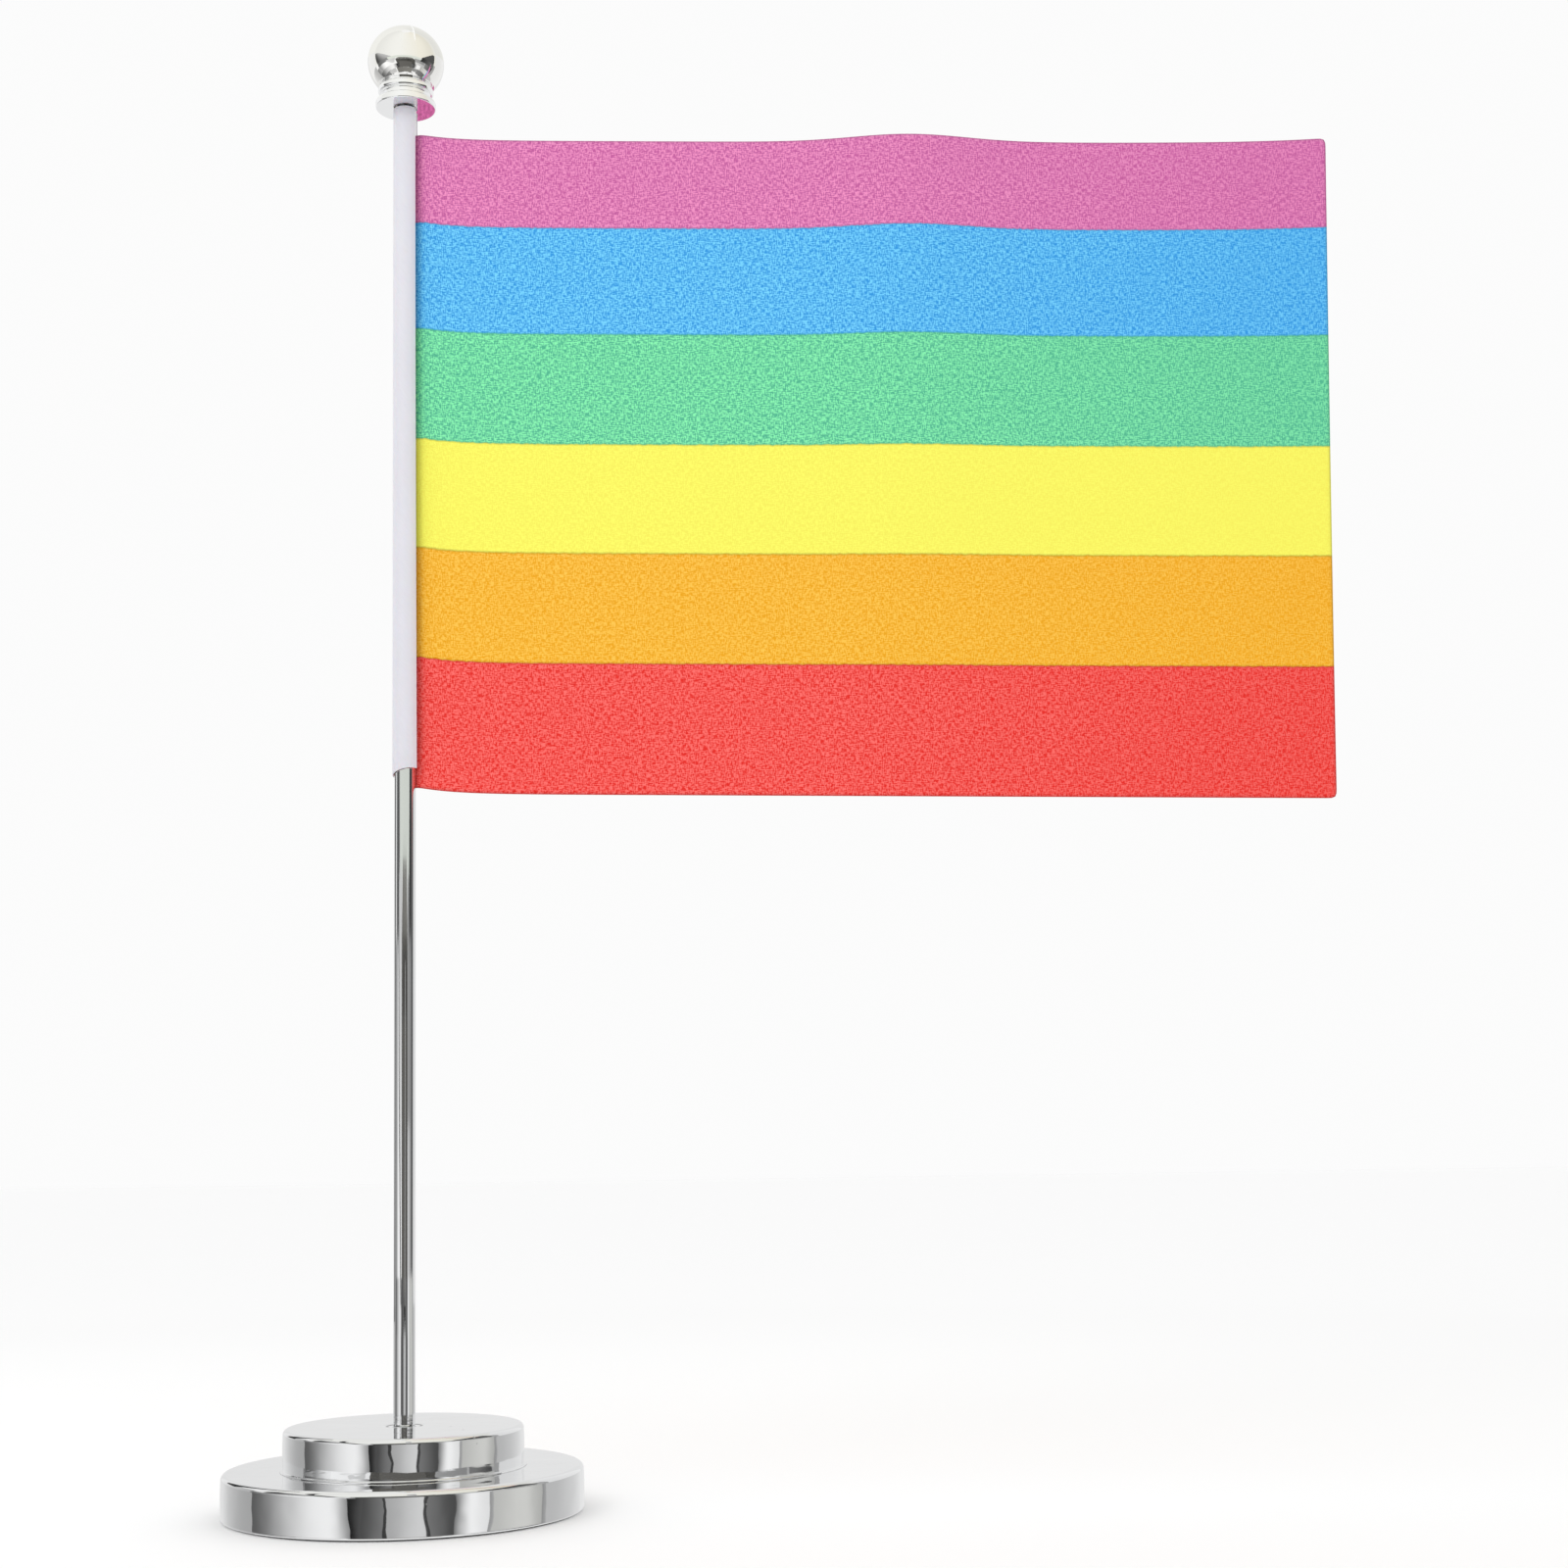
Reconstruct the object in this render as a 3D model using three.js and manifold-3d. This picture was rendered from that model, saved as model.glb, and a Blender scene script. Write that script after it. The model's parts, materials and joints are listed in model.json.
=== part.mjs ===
// Desk flag stand: a two-tier chromed base with a ballast disc, a thin chromed pole held by a
// stud and nut, a plastic clip sleeve that carries a small cloth flag, and a ball finial.
// Millimetres, +Z up. The origin is the centre of the underside, and the flag flies towards +X.

import * as THREE from 'three';
import { mergeVertices } from 'three/addons/utils/BufferGeometryUtils.js';
import Module from 'manifold-3d';

const wasm = await Module();
wasm.setup();

// ---------------------------------------------------------------- driving dimensions

const STACK_GAP = 0.3;          // air left between two pieces that rest on each other
const RUNNING_GAP = 0.15;       // radial clearance of a piece that turns or slides on another
const PUSH_GAP = 0.2;           // radial room of a pin that is pushed and glued into the pole
const ROUND_SIDES = 48;         // sides of the large turned pieces
const SLIM_SIDES = 28;          // sides of the slim turned pieces
const FILLET_STEPS = 3;         // straight steps that stand for one rounded corner

const LOWER_TIER_RADIUS = 36;
const LOWER_TIER_TOP = 9.2;     // height of the lower tier's flat top above the table
const LOWER_TIER_WALL = 1.2;
const LOWER_TIER_FILLET = 1.3;
const RIM_LIFT = 0.4;           // the shell's rim stays this far above the table

const UPPER_TIER_RADIUS = 24;
const UPPER_TIER_HEIGHT = 7.9;
const UPPER_TIER_WALL = 1.2;
const UPPER_TIER_FILLET = 1.2;
const LIP_WIDTH = 0.5;          // the thin lip round the foot of the upper tier
const LIP_HEIGHT = 0.5;

const PAD_THICKNESS = 1.5;
const PAD_INSET = 0.5;
const PLATE_THICKNESS = 0.8;
const NUT_ACCESS_RADIUS = 4.6;  // hole in the bottom plate that a nut spinner goes through

const POLE_RADIUS = 2.2;
const POLE_WALL = 0.5;
const POLE_TOP = 292.2;
const BUSH_WALL = 3.4;
const STUD_IN_POLE = 14;        // length of the stud inside the pole's foot

const WASHER_RADIUS = 3.5;
const WASHER_THICKNESS = 0.5;
const LOCK_WASHER_RADIUS = 2.9;
const LOCK_WASHER_THICKNESS = 0.7;
const LOCK_WASHER_SPLIT = 0.5;
const NUT_ACROSS_FLATS = 5.5;
const NUT_THICKNESS = 1.8;

const CLOTH_HEIGHT = 140;
const CLOTH_LENGTH = 191.9;     // from the pole's side to the fly edge
const CLOTH_THICKNESS = 0.6;
const CLOTH_STEPS = 30;
const CLOTH_TOP_DROP = 5.2;     // from the pole's top down to the cloth's top corner
const HOIST_SAG = 1.0;          // the cloth settles this much just outside the sleeve
const HOIST_SAG_REACH = 7;      // and does so over about this distance
const FLY_DROOP = 3.4;          // the further fall from there to the fly edge
const FOLD_DEPTH = 4.2;         // a soft fold that stands forward of the cloth's plane
const FOLD_PLACE = 104;         // its distance from the hoist
const FOLD_WIDTH = 17;
const FLY_CURL = 2.8;           // the fly edge's upper corner curls forward by this much
const FLY_CURL_REACH = 16;
const WAVE_FADE_POWER = 1.6;    // how quickly the waves die out towards the hem

const SLEEVE_WALL = 0.35;
const SLEEVE_ABOVE_HEM = 3.3;   // how far the cloth reaches below the sleeve
const SLEEVE_FOOT_SLANT = 0.25; // rise of the slanted foot for each millimetre across
const SLEEVE_STEPS = 22;

const SPIGOT_LENGTH = 12;       // length of the finial's pin inside the pole's top
const SPIGOT_IN_BALL = 6;
const COLLAR_RADIUS = 6.3;
const COLLAR_THICKNESS = 1.7;
const GROOVE_RADIUS = 5.0;
const GROOVE_HEIGHT = 1.3;
const BEAD_RADIUS = 5.8;
const BEAD_HEIGHT = 1.7;
const BALL_RADIUS = 8.0;
const BALL_HALF_HEIGHT = 7.6;
const BALL_CUT = 5.1;           // depth below the ball's middle at which its underside is cut flat
const BALL_STEPS = 13;

// ---------------------------------------------------------------- sizes that follow from them

const plateBottom = PAD_THICKNESS + STACK_GAP;
const ballastBottom = plateBottom + PLATE_THICKNESS + STACK_GAP;
const lowerTierCeiling = LOWER_TIER_TOP - LOWER_TIER_WALL;
const ballastTop = lowerTierCeiling - STACK_GAP;
const lowerCavityRadius = LOWER_TIER_RADIUS - LOWER_TIER_WALL;
const insideLowerTier = lowerCavityRadius - STACK_GAP;

const upperTierFoot = LOWER_TIER_TOP + STACK_GAP;
const upperTierTop = upperTierFoot + UPPER_TIER_HEIGHT;
const upperTierCeiling = upperTierTop - UPPER_TIER_WALL;
const poleFoot = upperTierFoot;
const bushTop = upperTierCeiling - STACK_GAP;

const poleHole = POLE_RADIUS + RUNNING_GAP;
const poleBore = POLE_RADIUS - POLE_WALL;
const studRadius = poleBore - PUSH_GAP;
const studHole = studRadius + RUNNING_GAP;

const washerTop = lowerTierCeiling - STACK_GAP;
const washerBottom = washerTop - WASHER_THICKNESS;
const lockWasherTop = washerBottom - RUNNING_GAP;
const lockWasherBottom = lockWasherTop - LOCK_WASHER_THICKNESS;
const nutTop = lockWasherBottom - RUNNING_GAP;
const nutBottom = nutTop - NUT_THICKNESS;
const studBottom = nutBottom - STACK_GAP;
const nutWell = Math.max(WASHER_RADIUS, NUT_ACROSS_FLATS / Math.sqrt(3)) + 2 * STACK_GAP;

const sleeveBore = POLE_RADIUS + RUNNING_GAP;
const sleeveRadius = sleeveBore + SLEEVE_WALL;
const sleeveTop = POLE_TOP;
const slitHalfWidth = CLOTH_THICKNESS / 2 + STACK_GAP;
const clothStart = POLE_RADIUS + STACK_GAP;
const clothTop = POLE_TOP - CLOTH_TOP_DROP;
const clothBottom = clothTop - CLOTH_HEIGHT;
const sleeveFoot = clothBottom + SLEEVE_ABOVE_HEM;

const collarBottom = POLE_TOP + STACK_GAP;
const beadTop = collarBottom + COLLAR_THICKNESS + GROOVE_HEIGHT + BEAD_HEIGHT;
const ballBottom = beadTop + STACK_GAP;
const ballMiddle = ballBottom + BALL_CUT;
const spigotRadius = poleBore - PUSH_GAP;
const spigotHole = spigotRadius + RUNNING_GAP;

// ---------------------------------------------------------------- finishes

function finish(colour, roughness, metalness) {
  return new THREE.MeshStandardMaterial({ color: colour, roughness, metalness });
}

const chrome = finish(0xd9dadb, 0.06, 1.0);
const plainSteel = finish(0x9a9c9e, 0.35, 1.0);
const castIron = finish(0x4b4c4e, 0.7, 0.9);
const foam = finish(0x1d1e20, 0.95, 0.0);
const whitePlastic = finish(0xe2e0e8, 0.35, 0.0);
const cloth = finish(0x9bd7a0, 0.85, 0.0);

// ---------------------------------------------------------------- shape helpers

// Turns a list of corners [radius, height, fillet] into outline points, each corner with a
// fillet becoming an arc. The list runs anticlockwise, with radius to the right and height up.
function filletedOutline(corners) {
  const outline = [];
  corners.forEach(([radius, height, fillet = 0], index) => {
    const corner = new THREE.Vector2(radius, height);
    if (fillet === 0) {
      outline.push(corner);
      return;
    }
    const before = new THREE.Vector2(...corners[index - 1]).sub(corner);
    const after = new THREE.Vector2(...corners[index + 1]).sub(corner);
    const halfTurn = Math.acos(before.normalize().dot(after.normalize())) / 2;
    const middle = before.clone().add(after).setLength(fillet / Math.sin(halfTurn)).add(corner);
    const reach = fillet / Math.tan(halfTurn);
    const start = before.multiplyScalar(reach).add(corner).sub(middle).angle();
    const end = after.multiplyScalar(reach).add(corner).sub(middle).angle();
    const turn = Math.atan2(Math.sin(end - start), Math.cos(end - start));
    for (let step = 0; step <= FILLET_STEPS; step += 1) {
      const angle = start + turn * step / FILLET_STEPS;
      outline.push(new THREE.Vector2(Math.cos(angle), Math.sin(angle)).multiplyScalar(fillet).add(middle));
    }
  });
  return outline;
}

// A solid turned about +Z whose outline starts and ends on the axis.
function turnedSolid(corners, sides) {
  return new THREE.LatheGeometry(filletedOutline(corners), sides).rotateX(Math.PI / 2);
}

// A ring turned about +Z whose outline closes on itself.
function turnedRing(corners, sides) {
  const outline = filletedOutline(corners);
  outline.push(outline[0].clone());
  return new THREE.LatheGeometry(outline, sides).rotateX(Math.PI / 2);
}

function plainRing(bore, radius, bottom, top, sides) {
  return turnedRing([[bore, bottom], [radius, bottom], [radius, top], [bore, top]], sides);
}

function toManifold(geometry) {
  const bare = geometry.clone();
  bare.deleteAttribute('normal');
  bare.deleteAttribute('uv');
  const merged = mergeVertices(bare);
  const vertProperties = new Float32Array(merged.attributes.position.array);
  const triVerts = new Uint32Array(merged.index.array);
  return new wasm.Manifold(new wasm.Mesh({ numProp: 3, vertProperties, triVerts }));
}

function fromManifold(solid) {
  const mesh = solid.getMesh();
  const geometry = new THREE.BufferGeometry();
  geometry.setAttribute('position', new THREE.BufferAttribute(mesh.vertProperties, 3));
  geometry.setIndex(new THREE.BufferAttribute(mesh.triVerts, 1));
  return geometry;
}

const group = new THREE.Group();

function addPart(name, geometry, material) {
  const mesh = new THREE.Mesh(geometry, material);
  mesh.name = name;
  group.add(mesh);
}

// ---------------------------------------------------------------- base

function footPad() {
  const radius = insideLowerTier - PAD_INSET;
  return turnedSolid([[0, 0], [radius, 0], [radius, PAD_THICKNESS], [0, PAD_THICKNESS]], ROUND_SIDES);
}

function bottomPlate() {
  return plainRing(NUT_ACCESS_RADIUS, insideLowerTier, plateBottom, plateBottom + PLATE_THICKNESS, ROUND_SIDES);
}

function ballastDisc() {
  return plainRing(nutWell, insideLowerTier, ballastBottom, ballastTop, ROUND_SIDES);
}

// The lower tier is an upside-down cup with a hole in the middle for the stud.
function lowerShell() {
  return turnedRing([
    [studHole, lowerTierCeiling],
    [lowerCavityRadius, lowerTierCeiling],
    [lowerCavityRadius, RIM_LIFT],
    [LOWER_TIER_RADIUS, RIM_LIFT, LOWER_TIER_WALL / 4],
    [LOWER_TIER_RADIUS, LOWER_TIER_TOP, LOWER_TIER_FILLET],
    [studHole, LOWER_TIER_TOP],
  ], ROUND_SIDES);
}

// The upper tier is a smaller cup with a thin lip round its foot.
function upperShell() {
  const cavityRadius = UPPER_TIER_RADIUS - UPPER_TIER_WALL;
  const lipRadius = UPPER_TIER_RADIUS + LIP_WIDTH;
  const lipTop = upperTierFoot + LIP_HEIGHT;
  return turnedRing([
    [poleHole, upperTierCeiling],
    [cavityRadius, upperTierCeiling],
    [cavityRadius, upperTierFoot],
    [lipRadius, upperTierFoot],
    [lipRadius, lipTop, LIP_HEIGHT / 3],
    [UPPER_TIER_RADIUS, lipTop],
    [UPPER_TIER_RADIUS, upperTierTop, UPPER_TIER_FILLET],
    [poleHole, upperTierTop],
  ], ROUND_SIDES);
}

function poleBush() {
  return plainRing(poleHole, poleHole + BUSH_WALL, upperTierFoot, bushTop, SLIM_SIDES);
}

// ---------------------------------------------------------------- pole and its fastening

function poleTube() {
  return plainRing(poleBore, POLE_RADIUS, poleFoot, POLE_TOP, SLIM_SIDES);
}

function poleStud() {
  const tip = studRadius / 5;
  const top = poleFoot + STUD_IN_POLE;
  return turnedSolid([
    [0, studBottom],
    [studRadius - tip, studBottom],
    [studRadius, studBottom + tip],
    [studRadius, top],
    [0, top],
  ], SLIM_SIDES);
}

function flatWasher() {
  return plainRing(studHole, WASHER_RADIUS, washerBottom, washerTop, SLIM_SIDES);
}

// A ring with a slot cut through it, drawn on the plan and extruded upwards.
function splitRingShape(bore, radius, halfSlot, steps) {
  const outerStart = Math.asin(halfSlot / radius);
  const innerStart = Math.asin(halfSlot / bore);
  const outline = [];
  for (let step = 0; step <= steps; step += 1) {
    const angle = outerStart + (2 * Math.PI - 2 * outerStart) * step / steps;
    outline.push(new THREE.Vector2(Math.cos(angle), Math.sin(angle)).multiplyScalar(radius));
  }
  for (let step = steps; step >= 0; step -= 1) {
    const angle = innerStart + (2 * Math.PI - 2 * innerStart) * step / steps;
    outline.push(new THREE.Vector2(Math.cos(angle), Math.sin(angle)).multiplyScalar(bore));
  }
  return new THREE.Shape(outline);
}

function lockWasher() {
  const shape = splitRingShape(studHole, LOCK_WASHER_RADIUS, LOCK_WASHER_SPLIT / 2, SLIM_SIDES);
  const geometry = new THREE.ExtrudeGeometry(shape, { depth: LOCK_WASHER_THICKNESS, bevelEnabled: false });
  return geometry.translate(0, 0, lockWasherBottom);
}

function hexNut() {
  const corner = NUT_ACROSS_FLATS / Math.sqrt(3);
  const outline = [];
  for (let side = 0; side < 6; side += 1) {
    const angle = side * Math.PI / 3;
    outline.push(new THREE.Vector2(Math.cos(angle), Math.sin(angle)).multiplyScalar(corner));
  }
  const shape = new THREE.Shape(outline);
  shape.holes.push(new THREE.Path().absarc(0, 0, studHole, 0, 2 * Math.PI, true));
  const prism = new THREE.ExtrudeGeometry(shape, {
    depth: NUT_THICKNESS,
    bevelEnabled: false,
    curveSegments: SLIM_SIDES / 2,
  });
  prism.translate(0, 0, nutBottom);
  const flats = NUT_ACROSS_FLATS / 2;
  const chamfer = corner - flats;
  const chamferCone = turnedSolid([
    [0, nutBottom],
    [flats, nutBottom],
    [corner, nutBottom + chamfer],
    [corner, nutTop - chamfer],
    [flats, nutTop],
    [0, nutTop],
  ], SLIM_SIDES);
  return fromManifold(toManifold(prism).intersect(toManifold(chamferCone)));
}

// ---------------------------------------------------------------- flag

// The sleeve is a C section that clips round the pole, open towards the cloth, and its foot is
// cut on a slant that rises towards the front.
function flagSleeve() {
  const shape = splitRingShape(sleeveBore, sleeveRadius, slitHalfWidth, SLEEVE_STEPS);
  const length = sleeveTop - sleeveFoot;
  const section = new THREE.ExtrudeGeometry(shape, { depth: length, bevelEnabled: false });
  section.translate(0, 0, sleeveFoot);
  const cutterSize = 4 * sleeveRadius;
  const cutter = new THREE.BoxGeometry(cutterSize, cutterSize, cutterSize);
  cutter.translate(0, 0, -cutterSize / 2);
  cutter.rotateX(-Math.atan(SLEEVE_FOOT_SLANT));
  cutter.translate(0, 0, sleeveFoot + SLEEVE_FOOT_SLANT * sleeveRadius);
  return fromManifold(toManifold(section).subtract(toManifold(cutter)));
}

// How far the cloth stands forward of its plane. The waves die out downwards.
function clothWave(fromHoist, aboveHem) {
  const fold = FOLD_DEPTH * Math.exp(-Math.pow((fromHoist - FOLD_PLACE) / FOLD_WIDTH, 2));
  const curl = FLY_CURL * Math.exp((fromHoist - CLOTH_LENGTH) / FLY_CURL_REACH);
  return (fold + curl) * Math.pow(aboveHem / CLOTH_HEIGHT, WAVE_FADE_POWER);
}

// The cloth hangs a little lower towards the fly, and leans with it.
function flagCloth() {
  const sheet = new THREE.BoxGeometry(CLOTH_LENGTH, CLOTH_THICKNESS, CLOTH_HEIGHT, CLOTH_STEPS, 1, 8);
  sheet.translate(CLOTH_LENGTH / 2, 0, CLOTH_HEIGHT / 2);
  const slope = FLY_DROOP / CLOTH_LENGTH;
  const place = sheet.attributes.position;
  for (let index = 0; index < place.count; index += 1) {
    const fromHoist = place.getX(index);
    const aboveHem = place.getZ(index);
    const lean = slope * (CLOTH_HEIGHT - aboveHem) * fromHoist / CLOTH_LENGTH;
    const sag = HOIST_SAG * (1 - Math.exp(-fromHoist / HOIST_SAG_REACH)) + slope * fromHoist;
    place.setX(index, clothStart + fromHoist - lean);
    place.setY(index, place.getY(index) - clothWave(fromHoist, aboveHem));
    place.setZ(index, clothBottom + aboveHem - sag);
  }
  return sheet;
}

// ---------------------------------------------------------------- finial

function finialCollar() {
  const collarTop = collarBottom + COLLAR_THICKNESS;
  const grooveTop = collarTop + GROOVE_HEIGHT;
  return turnedRing([
    [spigotHole, collarBottom],
    [COLLAR_RADIUS, collarBottom, COLLAR_THICKNESS / 6],
    [COLLAR_RADIUS, collarTop, COLLAR_THICKNESS / 3],
    [GROOVE_RADIUS, collarTop],
    [GROOVE_RADIUS, grooveTop],
    [BEAD_RADIUS, grooveTop, BEAD_HEIGHT / 3],
    [BEAD_RADIUS, beadTop, BEAD_HEIGHT / 3],
    [spigotHole, beadTop],
  ], ROUND_SIDES);
}

// The ball is slightly flattened, cut flat underneath, and drilled for the spigot.
function finialBall() {
  const holeTop = ballBottom + SPIGOT_IN_BALL + STACK_GAP;
  const startAngle = -Math.asin(BALL_CUT / BALL_HALF_HEIGHT);
  const outline = [new THREE.Vector2(0, holeTop), new THREE.Vector2(spigotHole, holeTop)];
  outline.push(new THREE.Vector2(spigotHole, ballBottom));
  for (let step = 0; step < BALL_STEPS; step += 1) {
    const angle = startAngle + (Math.PI / 2 - startAngle) * step / BALL_STEPS;
    const height = ballMiddle + BALL_HALF_HEIGHT * Math.sin(angle);
    outline.push(new THREE.Vector2(BALL_RADIUS * Math.cos(angle), height));
  }
  outline.push(new THREE.Vector2(0, ballMiddle + BALL_HALF_HEIGHT));
  return new THREE.LatheGeometry(outline, ROUND_SIDES).rotateX(Math.PI / 2);
}

function finialSpigot() {
  const tip = spigotRadius / 4;
  const bottom = POLE_TOP - SPIGOT_LENGTH;
  const top = ballBottom + SPIGOT_IN_BALL;
  return turnedSolid([
    [0, bottom],
    [spigotRadius - tip, bottom],
    [spigotRadius, bottom + tip],
    [spigotRadius, top],
    [0, top],
  ], SLIM_SIDES);
}

// ---------------------------------------------------------------- assembly

addPart('foot_pad', footPad(), foam);
addPart('bottom_plate', bottomPlate(), plainSteel);
addPart('ballast_disc', ballastDisc(), castIron);
addPart('lower_tier_shell', lowerShell(), chrome);
addPart('upper_tier_shell', upperShell(), chrome);
addPart('pole_bush', poleBush(), plainSteel);

addPart('pole_tube', poleTube(), chrome);
addPart('pole_stud', poleStud(), plainSteel);
addPart('flat_washer', flatWasher(), plainSteel);
addPart('lock_washer', lockWasher(), plainSteel);
addPart('hex_nut', hexNut(), plainSteel);

addPart('flag_sleeve', flagSleeve(), whitePlastic);
addPart('flag_cloth', flagCloth(), cloth);

addPart('finial_collar', finialCollar(), chrome);
addPart('finial_ball', finialBall(), chrome);
addPart('finial_spigot', finialSpigot(), plainSteel);

export default group;
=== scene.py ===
"""Desk flag stand: the finished surfaces of the stand, built round its fixed frame.

The frame gives every size and place. Each piece is made by its own operator and rides on the
body that carries it: base, pole, flag or finial. Everything is in metres, with +Z up the pole and
+X from the pole towards the fly edge of the flag.
"""

import json
import math
from collections import namedtuple

import bmesh
import bpy
from bpy.props import FloatProperty, FloatVectorProperty, IntProperty, PointerProperty
from mathutils import Matrix, Vector


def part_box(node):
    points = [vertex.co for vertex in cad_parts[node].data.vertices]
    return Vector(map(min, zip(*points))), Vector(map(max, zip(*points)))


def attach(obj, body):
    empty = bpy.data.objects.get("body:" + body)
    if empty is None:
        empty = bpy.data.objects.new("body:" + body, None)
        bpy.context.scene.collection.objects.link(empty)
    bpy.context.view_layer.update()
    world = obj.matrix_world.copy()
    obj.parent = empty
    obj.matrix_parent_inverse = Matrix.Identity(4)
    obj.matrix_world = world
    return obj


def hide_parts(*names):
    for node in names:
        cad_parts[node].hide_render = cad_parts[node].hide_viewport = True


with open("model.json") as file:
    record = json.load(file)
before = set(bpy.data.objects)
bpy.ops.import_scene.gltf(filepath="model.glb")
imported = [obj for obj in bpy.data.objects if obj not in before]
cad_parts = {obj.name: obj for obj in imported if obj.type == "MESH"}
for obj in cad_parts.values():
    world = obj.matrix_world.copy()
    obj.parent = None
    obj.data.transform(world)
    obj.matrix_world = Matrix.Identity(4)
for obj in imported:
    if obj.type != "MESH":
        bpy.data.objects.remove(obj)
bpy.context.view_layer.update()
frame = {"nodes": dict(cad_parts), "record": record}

bl_info = {
    "name": "Desk Flag Stand",
    "version": (1, 0, 0),
    "blender": (4, 5, 0),
    "location": "View3D > Sidebar > Flag Stand",
    "description": "Builds a chromed desk stand with a striped cloth flag",
    "category": "Add Mesh",
}

MM = 0.001
UP = Vector((0, 0, 1))
SHARP_EDGE = math.radians(32)
MERGE_DISTANCE = 0.0001 * MM
ROUNDING_STEPS = 8
CLEARANCE = 0.15 * MM  # round the pole, the stud and the spigot where they pass through a piece


# ---- settings


def length(name, description, default):
    """A size in metres, shown with the scene's unit."""
    return FloatProperty(
        name=name, description=description, default=default, min=0, unit="LENGTH", precision=5
    )


def colour(name, description, default):
    return FloatVectorProperty(
        name=name, description=description, default=default, size=3, min=0, max=1, subtype="COLOR"
    )


def angle(name, description, degrees):
    return FloatProperty(
        name=name, description=description, default=math.radians(degrees), subtype="ANGLE"
    )


class FlagStandBase(bpy.types.PropertyGroup):
    wall: length("Wall", "Thickness of the two plated cups", 1.2 * MM)
    lower_round: length("Lower rounding", "Rounding of the lower tier's top edge", 1.1 * MM)
    upper_round: length("Upper rounding", "Rounding of the upper tier's top edge", 1.0 * MM)
    lip_height: length("Lip height", "Height of the lip round the upper tier's foot", 0.28 * MM)
    bulge: length("Bulge", "How far the tiers' walls swell at half height", 0.08 * MM)
    dish_radius: length("Dish radius", "Radius of the shallow dish round the pole", 4.3 * MM)
    dish_depth: length("Dish depth", "Depth of the shallow dish round the pole", 0.20 * MM)
    plate: colour("Plating", "Colour of the base's chrome", (0.86, 0.865, 0.87))
    sides: IntProperty(name="Sides", description="Steps round each turned piece", default=224)


class FlagStandPole(bpy.types.PropertyGroup):
    end_round: length("End rounding", "Rounding at the tube's two ends", 0.12 * MM)
    plate: colour("Plating", "Colour of the tube's chrome", (0.80, 0.805, 0.81))
    sides: IntProperty(name="Sides", description="Steps round the tube", default=96)


class FlagStandSleeve(bpy.types.PropertyGroup):
    wall: length("Wall", "Thickness of the plastic sleeve", 0.24 * MM)
    top_radius: length("Top radius", "Outer radius at the top, where it grips", 2.62 * MM)
    foot_radius: length("Foot radius", "Outer radius at the foot, where it opens", 2.78 * MM)
    lip_reach: length("Lip reach", "How far each lip turns out along the cloth", 0.12 * MM)
    mouth: angle("Mouth", "Half the angle of the mouth that the cloth leaves by", 34)
    slant: FloatProperty(
        name="Slant", description="Rise of the foot's cut towards the front", default=0.25
    )
    tilt: FloatProperty(
        name="Tilt", description="Rise of the foot's cut towards the mouth", default=0.20
    )
    drop: length("Drop", "How far the middle of the foot's cut hangs lower", 0.4 * MM)
    plastic: colour("Plastic", "Colour of the sleeve", (0.735, 0.705, 0.760))


class FlagStandFlag(bpy.types.PropertyGroup):
    length: length("Length", "Cut length of the cloth, hoist margin included", 198.4 * MM)
    height: length("Height", "Cut height of the cloth", 140 * MM)
    thickness: length("Thickness", "Thickness of the cloth", 0.12 * MM)
    hoist_sag: length("Hoist sag", "Settling of the cloth beside the sleeve", 1.4 * MM)
    fly_droop: length("Fly droop", "Fall from there to the fly edge", 3.6 * MM)
    fly_lean: length("Fly lean", "How far the fly's lower corner falls towards the pole", 2.1 * MM)
    fold_depth: length("Fold depth", "Depth of the soft fold in the upper half", 4.2 * MM)
    fly_curl: length("Fly curl", "Forward curl of the fly's upper corner", 2.8 * MM)
    pink: colour("Pink", "First stripe from the top", (0.85, 0.205, 0.50))
    blue: colour("Blue", "Second stripe", (0.072, 0.62, 0.99))
    green: colour("Green", "Third stripe", (0.16, 0.88, 0.375))
    yellow: colour("Yellow", "Fourth stripe", (0.955, 0.945, 0.115))
    orange: colour("Orange", "Fifth stripe", (0.97, 0.54, 0.012))
    red: colour("Red", "Sixth stripe", (1.0, 0.053, 0.036))


class FlagStandFinial(bpy.types.PropertyGroup):
    seam_turn: angle("Seam turn", "Turn of the ball's parting line from the flag", -67)
    seam_height: length("Seam height", "How far the parting line stands proud", 0.06 * MM)
    plate: colour("Plating", "Colour of the ball's plating", (0.94, 0.935, 0.915))
    rings: colour("Rings", "Colour of the collar's plating", (0.96, 0.965, 0.97))
    sides: IntProperty(name="Sides", description="Steps round each turned piece", default=144)


class FlagStandStudio(bpy.types.PropertyGroup):
    world: FloatProperty(name="World", description="Brightness all round", default=0.97)
    key: FloatProperty(
        name="Key light", description="Power of the large key light", default=0.45, unit="POWER"
    )
    lens: FloatProperty(name="Lens", description="Focal length in millimetres", default=54)
    rise: FloatProperty(name="Rise", description="Upward shift of the lens", default=0.09)
    pitch: angle("Pitch", "How far the camera looks up", 5.51)
    roll: angle("Roll", "How far the camera leans to its right", 0.82)


# ---- mesh helpers


def add_to_scene(name, data):
    made = bpy.data.objects.new(name, data)
    bpy.context.scene.collection.objects.link(made)
    return made


def new_object(name, bm, material):
    """Turns a bmesh into an object in the scene."""
    mesh = bpy.data.meshes.new(name)
    bm.to_mesh(mesh)
    bm.free()
    mesh.materials.append(material)
    return add_to_scene(name, mesh)


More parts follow.
